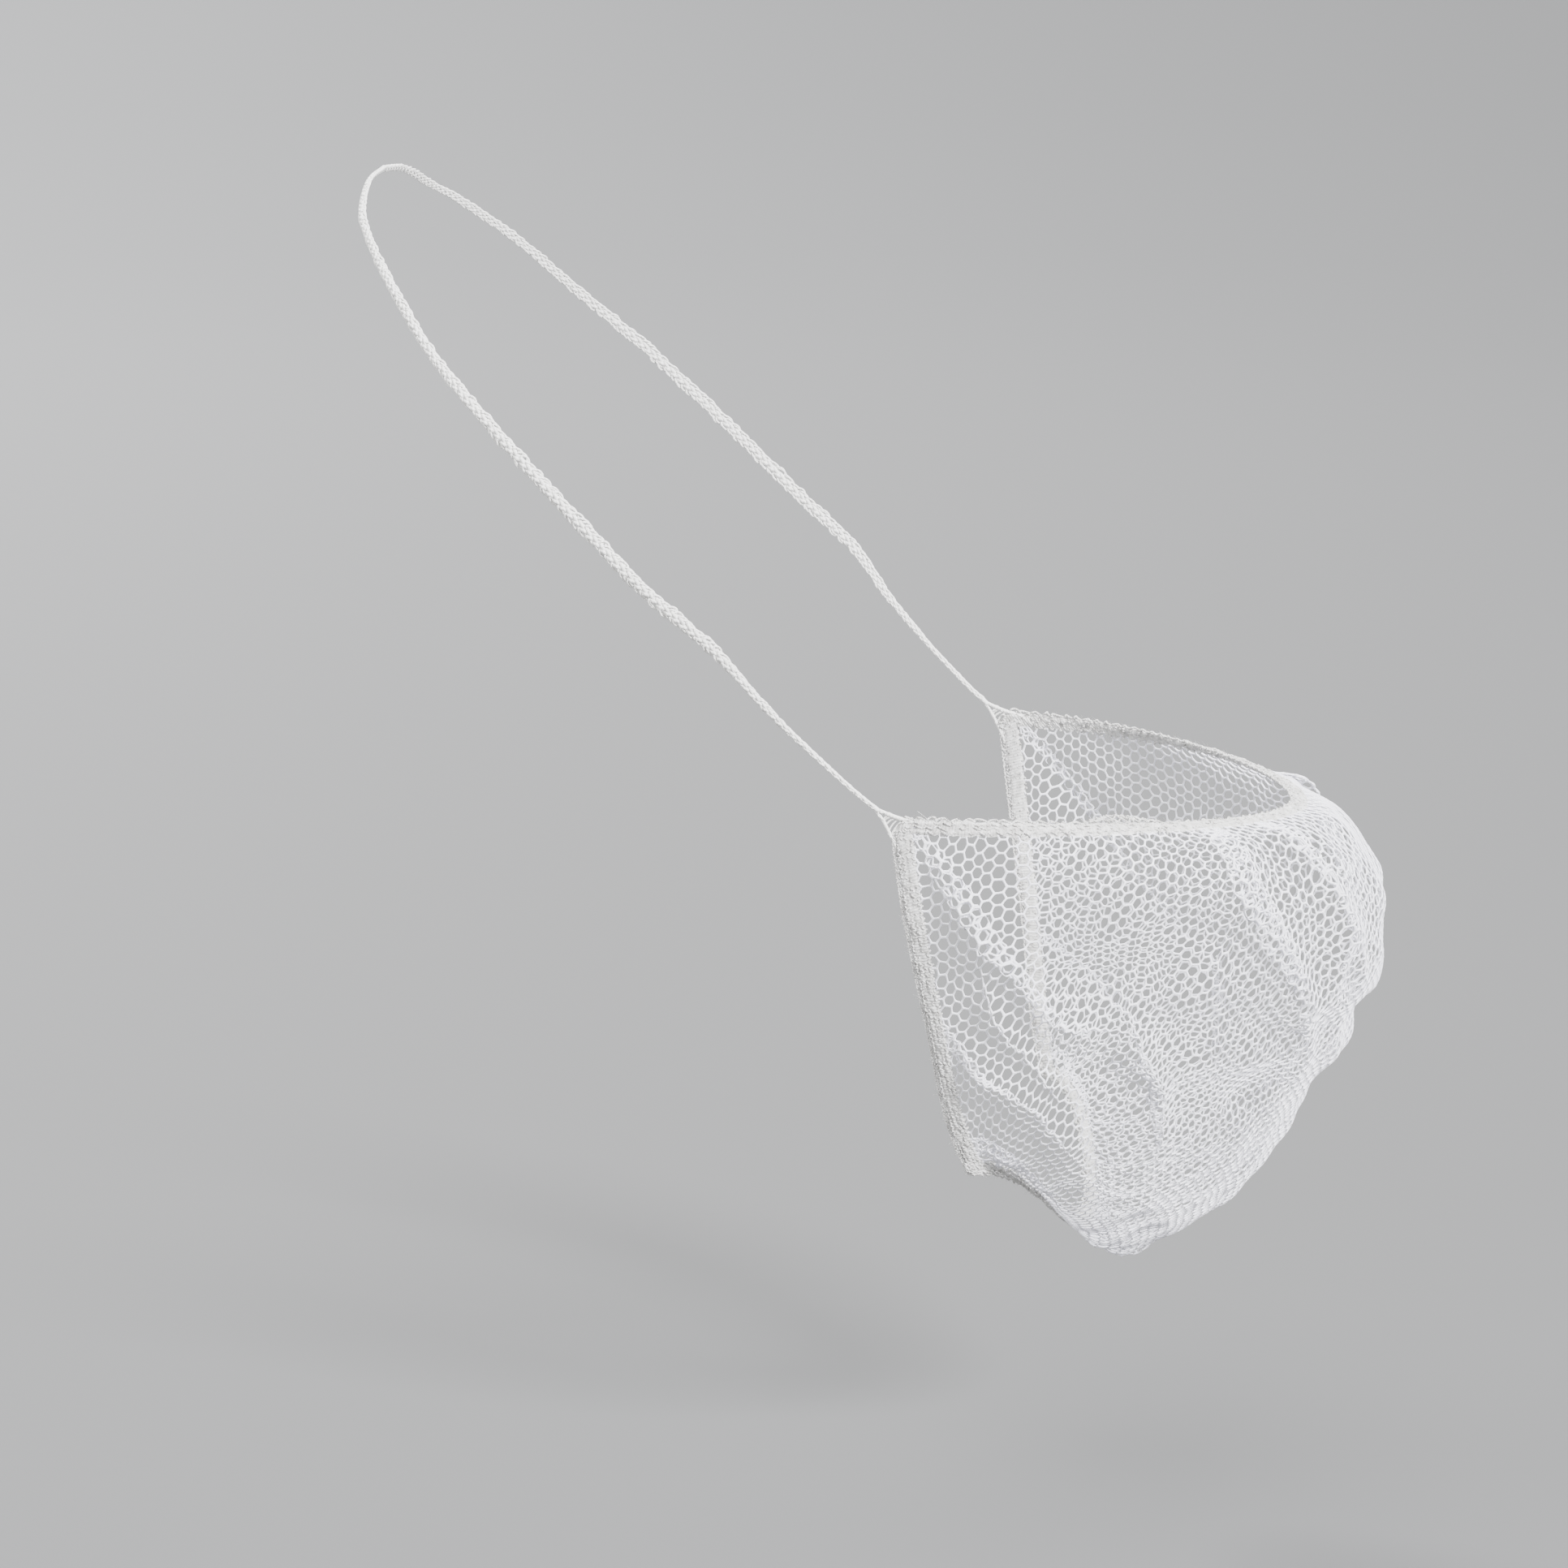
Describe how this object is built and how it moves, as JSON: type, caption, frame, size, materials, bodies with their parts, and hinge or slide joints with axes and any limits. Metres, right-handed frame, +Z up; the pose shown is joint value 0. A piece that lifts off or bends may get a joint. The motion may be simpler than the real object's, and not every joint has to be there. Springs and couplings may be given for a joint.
{
  "type": "beard cover",
  "caption": "Disposable net pouch that covers the beard and chin, with crochet hems on all four edges and one elastic strap that loops over the back of the head.",
  "frame": {"origin": "inner face of the head strap where it crosses the back of the crown, on the mid-plane", "axes": "+Z up, -Y the way the wearer faces, -X the wearer's right"},
  "size_m": [0.1554, 0.2085, 0.221],
  "materials": {
    "net": "fine white knitted honeycomb net, soft, slightly fuzzy yarn",
    "crochet_hem": "white crocheted band, matt, with small looped stitches",
    "elastic": "white crocheted elastic cord, matt, with open loops"
  },
  "bodies": {
    "root": {"net_pouch": "net", "upper_hem": "crochet_hem", "side_hem_right": "crochet_hem", "side_hem_left": "crochet_hem", "lower_hem": "crochet_hem", "corner_gather_right": "elastic", "corner_gather_left": "elastic", "head_strap": "elastic"}
  },
  "joints": []
}
